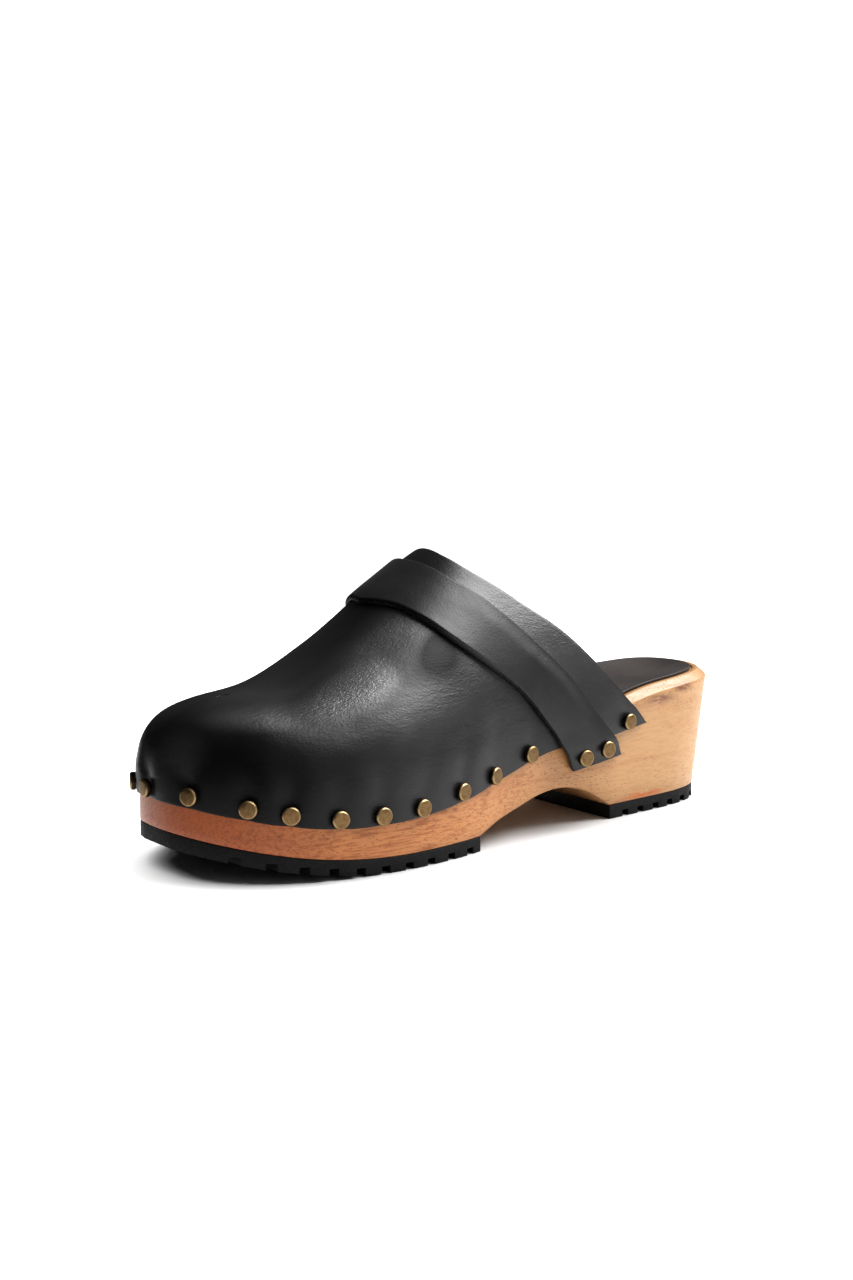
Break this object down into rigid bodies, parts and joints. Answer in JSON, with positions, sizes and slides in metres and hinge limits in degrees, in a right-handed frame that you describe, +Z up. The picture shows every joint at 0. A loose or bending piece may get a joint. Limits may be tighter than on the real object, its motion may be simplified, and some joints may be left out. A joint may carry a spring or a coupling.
{
  "type": "wooden clog",
  "caption": "Low-heeled clog for the left foot: black leather upper with an open back and an instep strap, nailed to a carved wooden sole with rubber treads.",
  "frame": {"origin": "centre of the bounding box in plan, at the floor the treads stand on", "axes": "+Z up, -Y to the toe, +Y to the heel, +X to the outer side of a left foot"},
  "size_m": [0.1, 0.2534, 0.1067],
  "materials": {
    "wood": "oiled, fine grain",
    "upper_leather": "satin black with a fine grain",
    "strap_leather": "smooth semi-matte black",
    "sock_leather": "matte brown-black",
    "rubber": "matte black",
    "brass": "antique brass"
  },
  "bodies": {
    "root": {"wooden_sole": "wood", "leather_upper": "upper_leather", "instep_strap": "strap_leather", "heel_sock": "sock_leather", "forefoot_tread": "rubber", "heel_tread": "rubber", "nail_outer_01": "brass", "nail_outer_02": "brass", "nail_outer_03": "brass", "nail_outer_04": "brass", "nail_outer_05": "brass", "nail_outer_06": "brass", "nail_outer_07": "brass", "nail_outer_08": "brass", "nail_outer_09": "brass", "nail_outer_10": "brass", "nail_inner_01": "brass", "nail_inner_02": "brass", "nail_inner_03": "brass", "nail_inner_04": "brass", "nail_inner_05": "brass", "nail_inner_06": "brass", "nail_inner_07": "brass", "nail_inner_08": "brass", "nail_inner_09": "brass", "nail_inner_10": "brass", "nail_inner_11": "brass", "strap_nail_outer_01": "brass", "strap_nail_outer_02": "brass", "strap_nail_inner_01": "brass", "strap_nail_inner_02": "brass"}
  },
  "joints": []
}
